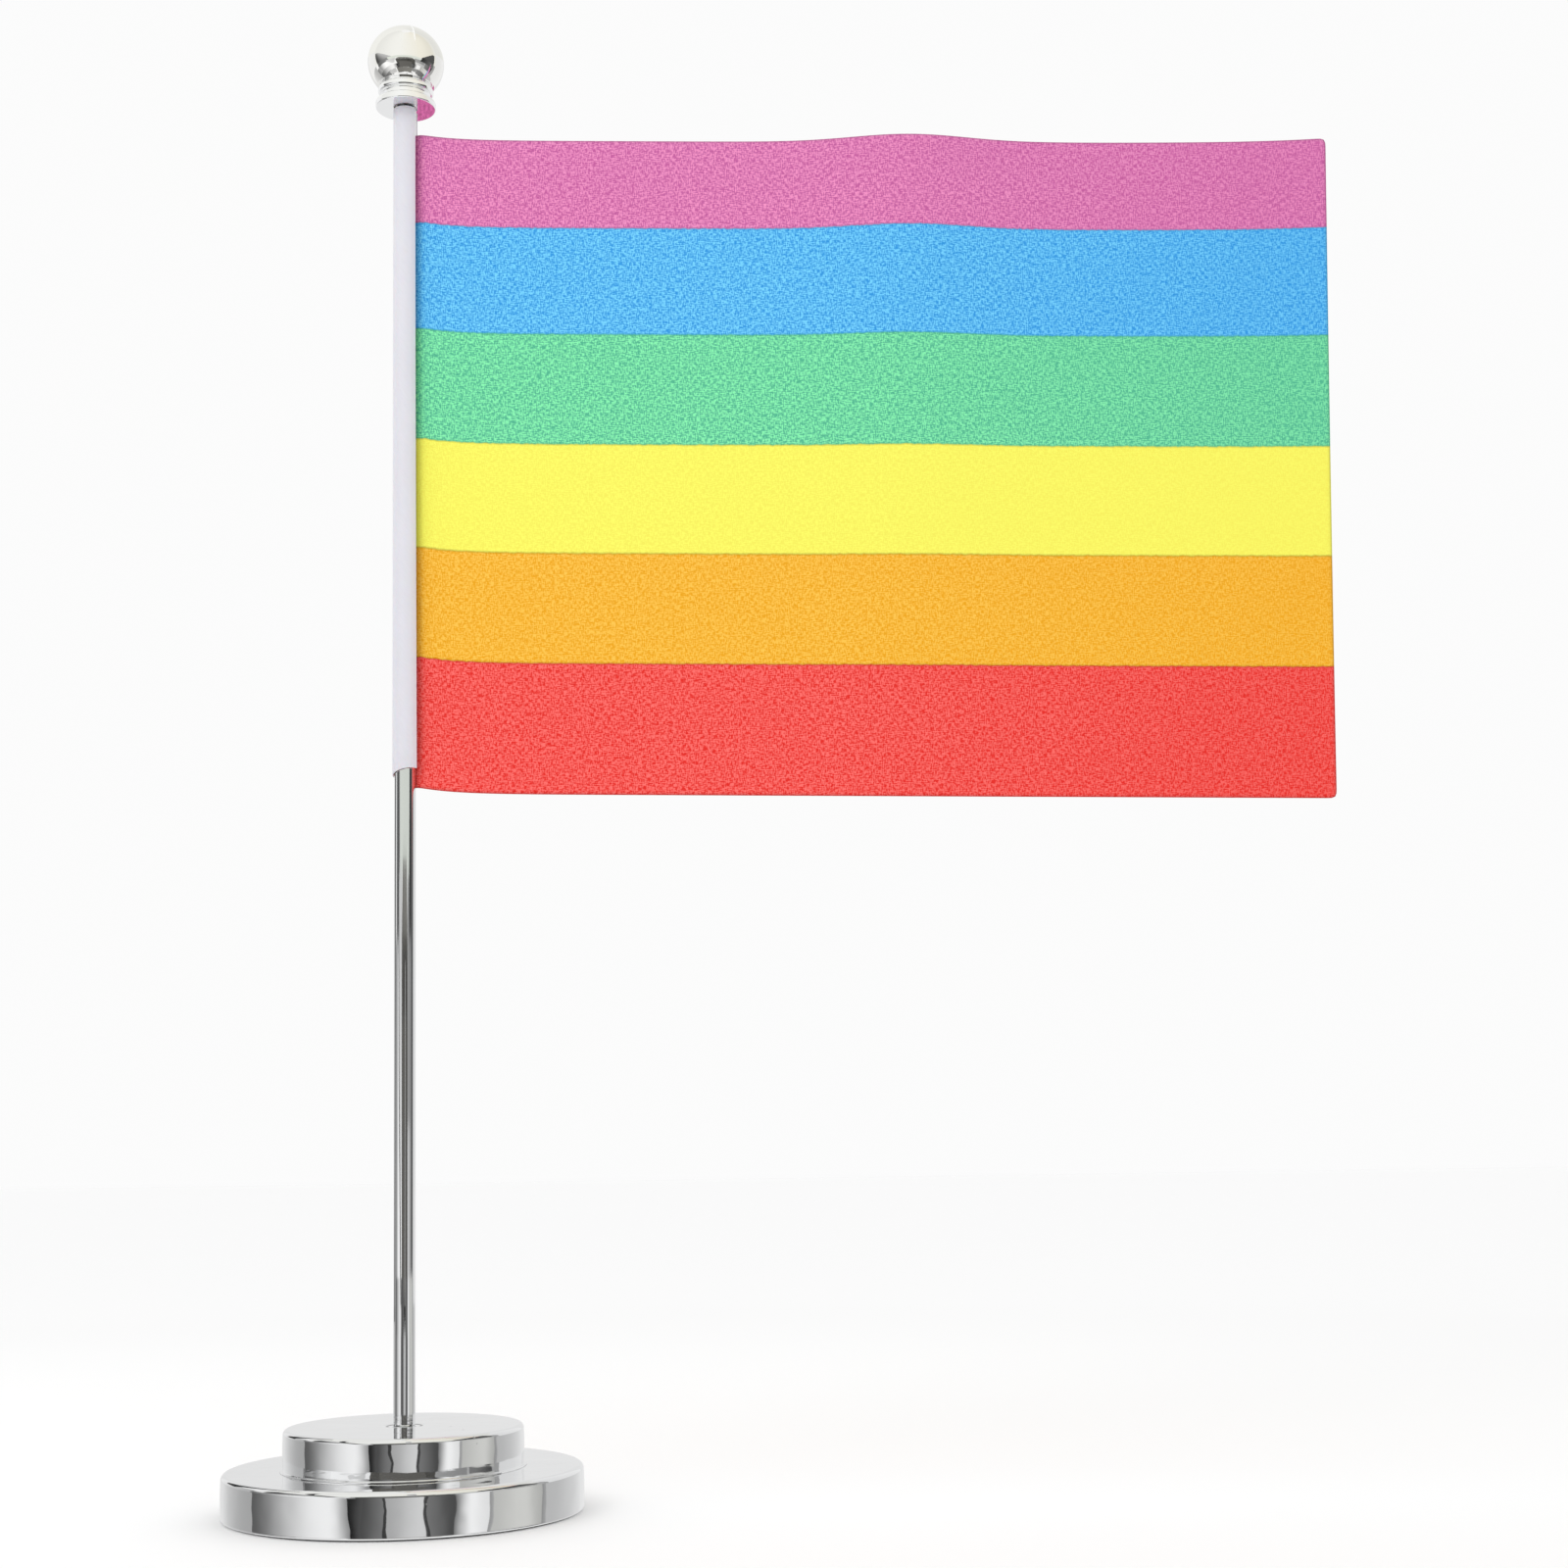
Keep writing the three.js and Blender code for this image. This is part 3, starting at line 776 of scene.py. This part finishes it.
def flag_material(settings):
    """Printed plain weave: stripes, slubby threads, soft print edges, a darker cut edge and painted
    shade towards the fly.
    """
    material, nodes, shader = new_material(
        "printed cloth", Sheen_Weight=0.08, Sheen_Roughness=0.45, Specular_IOR_Level=0.15
    )
    place = nodes.add("ShaderNodeUVMap", uv_map=CLOTH_PLACE).outputs["UV"]
    u, v = nodes.part(place, "X"), nodes.part(place, "Y")
    drift = nodes.minus(nodes.noise(place, 900.0), 0.5)
    printed = nodes.plus(v, nodes.times(drift, 0.5 * MM))
    tints = {name: rgba(getattr(settings, name)) for name, _ in STRIPES}
    stripe = tints[STRIPES[0][0]]
    line = None
    edge = settings.height
    for (name, _), (_, depth) in zip(STRIPES[1:], STRIPES):
        edge -= depth * MM
        below = nodes.spread(printed, edge - PRINT_BLEED, edge + PRINT_BLEED, 1.0, 0.0)
        stripe = nodes.mix(below, stripe, tints[name])
        reach = nodes.maths("ABSOLUTE", nodes.minus(printed, edge))
        mark = nodes.spread(reach, 0.05 * MM, 0.42 * MM, 1.0, 0.0, smooth=True)
        line = mark if line is None else nodes.maths("MAXIMUM", line, mark)
    warp = nodes.noise(nodes.stretched(place, (4400.0, 1100.0, 1.0)), 1.0, 1.0, 0.5)
    weft = nodes.noise(nodes.stretched(place, (1100.0, 4400.0, 1.0)), 1.0, 1.0, 0.5)
    threads = nodes.times(nodes.plus(warp, weft), 0.5)
    cloudy = nodes.noise(place, 90.0, 3.0)
    shade = nodes.spread(threads, 0.44, 0.56, 0.0, 1.0)
    channels = nodes.add("ShaderNodeSeparateColor", {"Color": stripe})
    bright = nodes.times(channels.outputs["Red"], channels.outputs["Green"])
    contrast = nodes.minus(1.0, nodes.times(bright, 0.92))
    no_blue = nodes.minus(1.0, channels.outputs["Blue"])
    warm = nodes.times(channels.outputs["Red"], no_blue)
    deeper = nodes.mix(warm, (0.42, 0.47, 0.74, 1.0), (0.78, 0.41, 0.44, 1.0))
    darkened = nodes.mix(1.0, stripe, deeper, "MULTIPLY")
    dark = nodes.mix(contrast, stripe, darkened)
    light = nodes.mix(nodes.times(contrast, 0.13), stripe, (1.0, 1.0, 1.0, 1.0))
    woven = nodes.mix(shade, dark, light)
    # Painted shade: the cloth darkens towards the fly, where less light falls on it, with random
    # cloudiness added.
    painted_fly_shade = nodes.spread(u, 0.45 * settings.length, settings.length, 0.0, 0.28)
    fly_shade_and_cloud = nodes.plus(painted_fly_shade, nodes.spread(cloudy, 0.3, 0.7, 0.08, 0.0))
    shaded_and_clouded = nodes.mix(fly_shade_and_cloud, woven, dark)
    line_tint = nodes.mix(1.0, stripe, (0.5, 0.5, 0.55, 1.0), "MULTIPLY")
    lined = nodes.mix(nodes.times(line, 0.6), shaded_and_clouded, line_tint)
    from_fly = nodes.minus(settings.length, u)
    from_top = nodes.minus(settings.height, v)
    rim = nodes.maths("MINIMUM", from_fly, nodes.maths("MINIMUM", v, from_top))
    cut = nodes.spread(rim, 0.10 * MM, 0.38 * MM, 0.55, 0.0)
    cut_tint = nodes.mix(1.0, stripe, (0.45, 0.42, 0.45, 1.0), "MULTIPLY")
    rough = nodes.spread(threads, 0.3, 0.7, 0.92, 0.74)
    paint(nodes, shader, nodes.mix(cut, lined, cut_tint), rough)
    pitch = math.tau / THREAD_PAIR
    over = nodes.maths("SINE", nodes.times(u, pitch))
    under = nodes.maths("SINE", nodes.times(v, pitch))
    weave = nodes.times(over, under)
    relief = nodes.plus(nodes.times(weave, 0.25), threads)
    add_bump(nodes, shader, relief, 0.05 * MM)
    return material


# ---- finial

DISC_HEIGHT = 1.7 * MM
GROOVE_HEIGHT = 1.3 * MM
GROOVE_DEPTH = 1.3 * MM
BEAD_STEP = 0.5 * MM
NECK_STEP = 0.45 * MM
BEAD_DROP = 0.2 * MM
RING_ROUND = 0.7 * MM
GROOVE_ROUND = 0.3 * MM
BALL_FLATNESS = 0.95
SEAM_FOOT = 1.1 * MM  # the parting line stands proud, and its painted highlight starts, only from here above the ball's middle


def collar_outline():
    """Outline of the ringed collar: a flat disc, a groove and a bead."""
    low, high = heights("finial_collar")
    radius = outer_radius("finial_collar")
    hole = outer_radius("finial_spigot") + CLEARANCE
    disc_top = low + DISC_HEIGHT
    groove_top = disc_top + GROOVE_HEIGHT
    groove = radius - GROOVE_DEPTH
    bead = radius - BEAD_STEP
    bead_top = high - BEAD_DROP
    neck = bead - NECK_STEP
    neck_top = heights("finial_ball")[0] - TIER_GAP
    return [
        (hole, low, 0),
        (radius, low, 0.25 * MM),
        (radius, disc_top, RING_ROUND),
        (groove, disc_top, GROOVE_ROUND),
        (groove, groove_top, GROOVE_ROUND),
        (bead, groove_top, RING_ROUND),
        (bead, bead_top, RING_ROUND),
        (neck, bead_top, 0.2 * MM),
        (neck, neck_top, 0),
        (hole, neck_top, 0),
    ]


def ball_shape():
    """Half width and half height of the ball, and the height of its middle."""
    wide = outer_radius("finial_ball")
    tall = wide * BALL_FLATNESS
    return wide, tall, heights("finial_ball")[1] - tall


def finial_ball(settings):
    """A slightly flattened ball, cut flat underneath, with a raised parting line."""
    low = heights("finial_ball")[0]
    wide, tall, middle = ball_shape()
    bm = bmesh.new()
    bmesh.ops.create_uvsphere(
        bm, u_segments=settings.sides, v_segments=settings.sides // 2, radius=1.0
    )
    bmesh.ops.scale(bm, vec=(wide, wide, tall), verts=bm.verts)
    turn = Matrix.Rotation(settings.seam_turn, 3, "Z")
    bmesh.ops.rotate(bm, verts=bm.verts, cent=(0, 0, 0), matrix=turn)
    bmesh.ops.translate(bm, verts=bm.verts, vec=UP * middle)
    across = Vector((-math.sin(settings.seam_turn), math.cos(settings.seam_turn), 0))
    step = wide * math.tau / settings.sides
    for vert in bm.verts:
        away = abs(vert.co.dot(across))
        if away < 0.5 * step and vert.co.z > middle + SEAM_FOOT:
            vert.co += vert.normal * settings.seam_height
    whole = bm.verts[:] + bm.edges[:] + bm.faces[:]
    cut = bmesh.ops.bisect_plane(
        bm, geom=whole, plane_co=UP * low, plane_no=-UP, clear_outer=True
    )
    rim = [item for item in cut["geom_cut"] if isinstance(item, bmesh.types.BMEdge)]
    bmesh.ops.edgeloop_fill(bm, edges=rim)
    bmesh.ops.recalc_face_normals(bm, faces=bm.faces)
    return bm


def add_painted_seam_highlight(material, turn, middle):
    """Paints a white highlight along the upper part of the ball's parting line, as a less metallic
    white stripe.
    """
    nodes = Nodes(material.node_tree)
    across = (-math.sin(turn), math.cos(turn), 0)
    place = object_place(nodes)
    reach = nodes.add("ShaderNodeVectorMath", {0: place, 1: across}, operation="DOT_PRODUCT")
    away = nodes.maths("ABSOLUTE", reach.outputs["Value"])
    height = nodes.part(place, "Z")
    shown = nodes.spread(height, middle + SEAM_FOOT, middle + 2 * SEAM_FOOT, 0.0, 1.0, smooth=True)
    stripe = nodes.spread(away, 0.05 * MM, 0.17 * MM, 1.0, 0.0, smooth=True)
    line = nodes.times(stripe, shown)
    # Painted highlight: the white, less metallic stripe shows brighter than the plating round it.
    shader = paint_line(material, line, (1, 1, 1, 1))
    nodes.put(shader.inputs["Metallic"], nodes.spread(line, 0, 1, 1.0, 0.15))


class FLAGSTAND_OT_finial(bpy.types.Operator):
    """Makes the ball and its ringed collar"""

    bl_idname = "flagstand.finial"
    bl_label = "Finial"

    def execute(self, context):
        settings = context.scene.flagstand_finial
        chrome = chrome_material("collar plating", settings.rings, 420.0, 0.006 * MM, 0.03)
        rings = turned(collar_outline(), settings.sides)
        keep_flats_flat(
            finish_piece("finial_rings", rings, chrome, "finial", "finial_collar")
        )
        seam_highlighted = chrome_material("ball plating", settings.plate, 420.0, 0.008 * MM, 0.045)
        # Painted highlight along the ball's parting line.
        add_painted_seam_highlight(seam_highlighted, settings.seam_turn, ball_shape()[2])
        ball = finial_ball(settings)
        finish_piece("finial_knob", ball, seam_highlighted, "finial", "finial_ball")
        return {"FINISHED"}


# ---- stage

# An upright card round the stand, seen only in its plating. Its heights are those of its foot and
# top, in metres. Its span is in degrees round the pole, from the camera towards its right, and a
# card that leans has another span at its top. Brightness goes from the span's start to its end.
NEUTRAL = (1.0, 1.0, 1.0)
GREENISH = (0.955, 1.0, 0.925)
BROWNISH = (1.0, 0.97, 0.90)
PEARL = (1.0, 1.0, 0.965)
STRAW = (1.0, 0.968, 0.86)
Card = namedtuple(
    "Card", "name distance heights span brightness tint lean", defaults=(NEUTRAL, None)
)
WALL_LOW = (-0.45, 0.004)
WALL_HIGH = (0.004, 0.60)
LOW = (-0.17, 0.004)
LOW_FOOT = (-0.17, -0.055)
LOW_TOP = (-0.055, 0.004)
MIDDLE = (0.004, 0.17)
CEILING = (0.27, 5.0)
CARDS = (
    Card("wall_left_low", 0.62, WALL_LOW, (-180, -106), (0.98, 0.42)),
    Card("wall_left_high", 0.62, WALL_HIGH, (-180, -106), (0.97, 0.90)),
    Card("wall_right_low", 0.62, WALL_LOW, (96, 180), (0.54, 0.98)),
    Card("wall_right_high", 0.62, WALL_HIGH, (100, 180), (0.84, 0.97)),
    Card("wall_back", 0.61, (-0.45, 0.60), (150, 210), (0.84, 0.80)),
    Card("ceiling_left", 0.62, CEILING, (-106, -20), (0.86, 0.96), PEARL),
    Card("ceiling_middle", 0.62, CEILING, (-20, 40), (0.96, 0.92), (PEARL, STRAW)),
    Card("ceiling_right", 0.62, CEILING, (40, 84), (0.92, 0.82), STRAW),
    Card("ceiling_far", 0.62, CEILING, (84, 100), (0.82, 0.84), (STRAW, PEARL)),
    Card("ceiling_back", 0.64, (0.60, 5.0), (100, 254), (0.80, 0.94), PEARL),
    # Seen by the sides of the base.
    Card("low_softbox_left", 0.60, LOW, (-106, -46), (0.12, 0.98)),
    Card("low_fade_left", 0.60, LOW, (-46, -31), (0.98, 0.30)),
    Card("low_dark_left", 0.58, LOW, (-31.5, -25), (0.02, 0.09), lean=(-33.5, -25)),
    Card("low_shade_left", 0.58, LOW, (-26, -11), (0.08, 0.21)),
    Card("low_edge_left_foot", 0.57, LOW_FOOT, (-15, -12.5), (0.05, 0.05), lean=(-11.5, -9.5)),
    Card("low_edge_left_top", 0.57, LOW_TOP, (-11.5, -9.5), (0.05, 0.05), lean=(-15, -12)),
    Card("low_panel_foot", 0.575, LOW_FOOT, (-13, 13), (0.44, 0.72), lean=(-10, 10.5)),
    Card("low_panel_top", 0.575, (-0.055, -0.004), (-10, 10.5), (0.44, 0.72), lean=(-13, 13)),
    Card("low_panel_shadow", 0.575, (-0.004, 0.010), (-30, 30), (0.03, 0.03)),
    Card("low_edge_right_foot", 0.57, LOW_FOOT, (13, 16), (0.06, 0.06), lean=(10.5, 13)),
    Card("low_edge_right_top", 0.57, LOW_TOP, (10.5, 13), (0.06, 0.06), lean=(13, 16)),
    Card("low_shade_right", 0.58, LOW, (12, 31), (0.20, 0.08)),
    Card("low_fade_right", 0.60, LOW, (29, 41), (0.14, 1.0)),
    Card("low_softbox_right", 0.60, LOW, (41, 53), (1.0, 0.86)),
    Card("low_line_right", 0.58, LOW, (52.5, 55), (0.34, 0.42)),
    Card("low_panel_right", 0.60, LOW, (53, 78), (0.56, 0.70), PEARL),
    Card("low_panel_far", 0.60, LOW, (78, 95), (0.70, 0.50), PEARL),
    Card("low_post_right", 0.58, LOW, (94, 97), (0.32, 0.40)),
    # Seen by the pole, and by the upper part of the ball's dark band.
    Card("mid_grey_far_left", 0.60, (0.004, 0.27), (-160, -108), (0.90, 0.50)),
    Card("mid_grey_left", 0.60, MIDDLE, (-108, -90), (0.24, 0.42), lean=(-108, -94)),
    Card("mid_rise_left", 0.60, MIDDLE, (-92, -70), (0.32, 1.0), lean=(-95, -72)),
    Card("mid_light_left", 0.60, MIDDLE, (-70, -30), (1.08, 1.0), lean=(-72, -45)),
    Card("mid_dark_left", 0.60, (0.17, 0.27), (-97, -52), (0.13, 0.28), lean=(-97, -60)),
    Card("mid_wedge", 0.595, (0.06, 0.20), (-46, -38), (0.75, 0.65), lean=(-66, -33)),
    Card("mid_block_left", 0.58, MIDDLE, (-29, 4), (0.10, 0.08), BROWNISH, lean=(-33, 4)),
    Card("mid_block_right", 0.58, MIDDLE, (4, 31), (0.06, 0.09), BROWNISH, lean=(4, 27)),
    Card("mid_shade", 0.59, (0.17, 0.205), (-33, 27), (0.22, 0.25), BROWNISH, lean=(-24, 18)),
    Card("mid_light_right", 0.60, (0.004, 0.085), (28, 64), (0.72, 0.50), lean=(28, 62)),
    Card("mid_grey_right", 0.60, (0.085, 0.20), (28, 62), (0.38, 0.30), lean=(26, 60)),
    Card("mid_post_right", 0.59, (0.02, 0.20), (64, 90), (0.22, 0.08), lean=(62, 92)),
    Card("mid_panel_right", 0.60, (0.004, 0.29), (60, 100), (0.50, 0.40)),
    Card("mid_dark_right", 0.585, (0.17, 0.29), (44, 94), (0.03, 0.16), lean=(50, 92)),
    Card("high_panel", 0.60, (0.20, 0.27), (-60, 46), (0.82, 0.80), GREENISH),
    # Close to the pole, so that only the pole sees them.
    Card("pole_line_left", 0.12, (0.030, 0.175), (-134, -117), (0.05, 0.05)),
    Card("pole_lean_low", 0.12, (0.034, 0.092), (-42, -34), (0.02, 0.04), lean=(-66, -57)),
    Card("pole_lean_high", 0.12, (0.092, 0.175), (-66, -57), (0.04, 0.05), lean=(-79, -70)),
    Card("pole_slit", 0.12, (0.034, 0.120), (1.5, 6.5), (0.55, 0.45)),
    # Seen by the two ends and the middle of the ball's dark band.
    Card("rise_left", 0.60, (0.27, 0.52), (-98, -44), (0.05, 0.55), lean=(-103, -94)),
    Card("rise_right", 0.60, (0.27, 0.52), (46, 92), (0.09, 0.08), lean=(86, 93)),
    Card("near_block", 0.45, (0.018, 0.125), (-22, 19), (0.14, 0.13), BROWNISH),
    Card("nearer_block", 0.30, (0.062, 0.118), (-22, 19), (0.14, 0.13), BROWNISH),
    # Seen by the lower part of the ball's dark band.
    Card("under_shade_left", 0.60, (-0.46, -0.17), (-106, -60), (0.10, 0.30)),
    Card("under_lamp_left", 0.58, (-0.40, -0.17), (-70, -40), (0.62, 0.60)),
    Card("under_block", 0.60, (-0.52, -0.17), (-36, 25), (0.20, 0.24), BROWNISH),
    Card("under_lamp_right", 0.58, (-0.36, -0.17), (24, 46), (0.28, 0.34)),
    Card("under_shade_right", 0.60, (-0.46, -0.17), (44, 100), (0.24, 0.10)),
)
CARD_STEP = 4  # degrees between the upright edges of a card
LEDGE_DISTANCE = 0.20
LEDGE_HEIGHTS = (0.021, 0.037)
LEDGE_SQUEEZE = 0.96  # the same direction round the pole, seen from the step to the nearer card


def ledge_cards():
    """Nearer copies of the low cards, for what the wall and the step of the base mirror twice."""
    for card in CARDS:
        if card.name.startswith("low_") and card.heights[1] == LOW[1]:
            foot, top = (
                [turn * LEDGE_SQUEEZE for turn in span]
                for span in (card.span, card.lean or card.span)
            )
            yield card._replace(
                name=card.name.replace("low_", "ledge_"), distance=LEDGE_DISTANCE,
                heights=LEDGE_HEIGHTS, span=foot, lean=top,
            )


def glow_material(name):
    """A material with its nodes and a glow in place of the usual shader."""
    material, nodes, shader = new_material(name)
    nodes.tree.nodes.remove(shader)
    glow = nodes.add("ShaderNodeEmission")
    nodes.put(nodes.tree.nodes["Material Output"].inputs["Surface"], glow.outputs["Emission"])
    return material, nodes, glow


def card_material(card):
    material, nodes, glow = glow_material(card.name)
    uv = nodes.add("ShaderNodeTexCoord").outputs["UV"]
    along = nodes.part(uv, "X")
    level = nodes.spread(along, 0, 1, *card.brightness, smooth=True)
    tints = card.tint if isinstance(card.tint[0], tuple) else (card.tint, card.tint)
    nodes.put(glow.inputs["Color"], nodes.mix(along, rgba(tints[0]), rgba(tints[1])))
    nodes.put(glow.inputs["Strength"], level)
    return material


def reflection_card(facing, card):
    """Makes one card, curved round the pole between its two directions."""
    bm = bmesh.new()
    steps = max(2, int(abs(card.span[1] - card.span[0]) / CARD_STEP))
    uv = bm.loops.layers.uv.new("card")
    rows = []
    for height, (start, end) in zip(card.heights, (card.span, card.lean or card.span)):
        row = []
        for step in range(steps + 1):
            turn = facing + math.radians(start + (end - start) * step / steps)
            place = (card.distance * math.cos(turn), card.distance * math.sin(turn), height)
            row.append(bm.verts.new(place))
        rows.append(row)
    low, high = rows
    for step in range(steps):
        face = bm.faces.new((low[step], low[step + 1], high[step + 1], high[step]))
        for loop, share in zip(face.loops, (step, step + 1, step + 1, step)):
            loop[uv].uv = (share / steps, 0.5)
    stage_card(card.name, bm, card_material(card))


def stage_card(name, bm, material):
    """A stage object that only mirrors can see."""
    card = new_object(name, bm, material)
    card.visible_camera = False
    card.visible_diffuse = False
    card.visible_shadow = False
    card.visible_transmission = False


ROSE = (0.74, 0.17, 0.42, 1.0)
ROSE_PLACE = Vector((0.0075, 0.15, 0.2140))
ROSE_SIZE = (0.060, 0.042)


def rose_card(place, size):
    """A small pink card behind the pole, which the underside of the collar mirrors."""
    bm = bmesh.new()
    bmesh.ops.create_grid(bm, x_segments=1, y_segments=1, size=0.5)
    bmesh.ops.scale(bm, vec=(*size, 1), verts=bm.verts)
    upright = Matrix.Rotation(math.pi / 2, 3, "X")
    bmesh.ops.rotate(bm, verts=bm.verts, cent=(0, 0, 0), matrix=upright)
    bmesh.ops.translate(bm, verts=bm.verts, vec=place)
    material, nodes, glow = glow_material("rose card")
    mottle = nodes.noise(object_place(nodes), 1500.0, 2.0, 0.6)
    nodes.put(glow.inputs["Color"], ROSE)
    nodes.put(glow.inputs["Strength"], nodes.spread(mottle, 0.40, 0.60, 0.48, 1.15))
    stage_card("rose_card", bm, material)


FLOOR_HALF_SIZE = 6.0
CAMERA_PLACE = Vector((0.0778, -0.4804, 0.0710))
KEY_PLACE = Vector((-0.30, -0.50, 0.50))
KEY_AIM = Vector((0.03, 0, 0.2))
KEY_SIZE = 0.35
OVERHEAD_POWER = 0.2


def add_floor():
    bm = bmesh.new()
    bmesh.ops.create_grid(bm, x_segments=1, y_segments=1, size=FLOOR_HALF_SIZE)
    pale = new_material(
        "floor", Base_Color=(0.93, 0.93, 0.93, 1), Roughness=0.9, Specular_IOR_Level=0.1
    )[0]
    floor = new_object("floor", bm, pale)
    floor.visible_glossy = False


def add_lamp(name, kind, power):
    """A lamp that lights the stand and isn't seen in its plating."""
    light = bpy.data.lights.new(name, kind)
    light.energy = power
    lamp = add_to_scene(name, light)
    lamp.visible_glossy = False
    return light, lamp


def add_lights(key_power):
    """A large key light, and a very soft overhead light that evens out the floor."""
    light, lamp = add_lamp("key_light", "AREA", key_power)
    light.shape = "DISK"
    light.size = KEY_SIZE
    lamp.location = KEY_PLACE
    lamp.rotation_euler = (KEY_AIM - KEY_PLACE).to_track_quat("-Z", "Y").to_euler()
    light, lamp = add_lamp("overhead", "SUN", OVERHEAD_POWER)
    light.angle = math.radians(70)
    lamp.rotation_euler = (math.radians(12), math.radians(-10), 0)


class FLAGSTAND_OT_stage(bpy.types.Operator):
    """Sets the camera, the pale floor, the soft lights and the reflection cards"""

    bl_idname = "flagstand.stage"
    bl_label = "Studio"

    def execute(self, context):
        studio = context.scene.flagstand_studio
        lens = bpy.data.cameras.new("camera")
        lens.lens = studio.lens
        lens.shift_y = studio.rise
        lens.clip_start = 0.01
        camera = add_to_scene("camera", lens)
        look = Matrix.Rotation(math.pi / 2 + studio.pitch, 4, "X")
        lean = Matrix.Rotation(-studio.roll, 4, "Z")
        camera.matrix_world = Matrix.Translation(CAMERA_PLACE) @ look @ lean
        context.scene.camera = camera

        world = bpy.data.worlds.new("studio")
        world.use_nodes = True
        sky = world.node_tree.nodes["Background"]
        sky.inputs["Color"].default_value = (1, 1, 1, 1)
        sky.inputs["Strength"].default_value = studio.world
        context.scene.world = world
        context.scene.view_settings.view_transform = "Standard"

        add_floor()
        add_lights(studio.key)
        facing = math.atan2(CAMERA_PLACE.y, CAMERA_PLACE.x)
        for card in (*CARDS, *ledge_cards()):
            reflection_card(facing, card)
        rose_card(ROSE_PLACE, ROSE_SIZE)
        return {"FINISHED"}


# ---- add-on


class FLAGSTAND_PT_sidebar(bpy.types.Panel):
    """Lists the operators that build the stand"""

    bl_label = "Desk Flag Stand"
    bl_idname = "FLAGSTAND_PT_sidebar"
    bl_space_type = "VIEW_3D"
    bl_region_type = "UI"
    bl_category = "Flag Stand"

    def draw(self, context):
        for operator in OPERATORS:
            self.layout.operator(operator.bl_idname)
        for name in SETTINGS:
            box = self.layout.box()
            group = getattr(context.scene, name)
            for item in group.bl_rna.properties.keys()[2:]:
                box.prop(group, item)


SETTINGS = {
    "flagstand_base": FlagStandBase,
    "flagstand_pole": FlagStandPole,
    "flagstand_sleeve": FlagStandSleeve,
    "flagstand_flag": FlagStandFlag,
    "flagstand_finial": FlagStandFinial,
    "flagstand_studio": FlagStandStudio,
}

OPERATORS = (
    FLAGSTAND_OT_stage,
    FLAGSTAND_OT_base,
    FLAGSTAND_OT_inside,
    FLAGSTAND_OT_pole,
    FLAGSTAND_OT_sleeve,
    FLAGSTAND_OT_flag,
    FLAGSTAND_OT_finial,
)


def register():
    for name, group in SETTINGS.items():
        bpy.utils.register_class(group)
        setattr(bpy.types.Scene, name, PointerProperty(type=group))
    for item in (*OPERATORS, FLAGSTAND_PT_sidebar):
        bpy.utils.register_class(item)


def unregister():
    for item in reversed((*OPERATORS, FLAGSTAND_PT_sidebar)):
        bpy.utils.unregister_class(item)
    for name, group in reversed(SETTINGS.items()):
        delattr(bpy.types.Scene, name)
        bpy.utils.unregister_class(group)


def main():
    register()
    for operator in OPERATORS:
        getattr(bpy.ops.flagstand, operator.bl_idname.split(".")[1])()


if __name__ == "__main__":
    main()
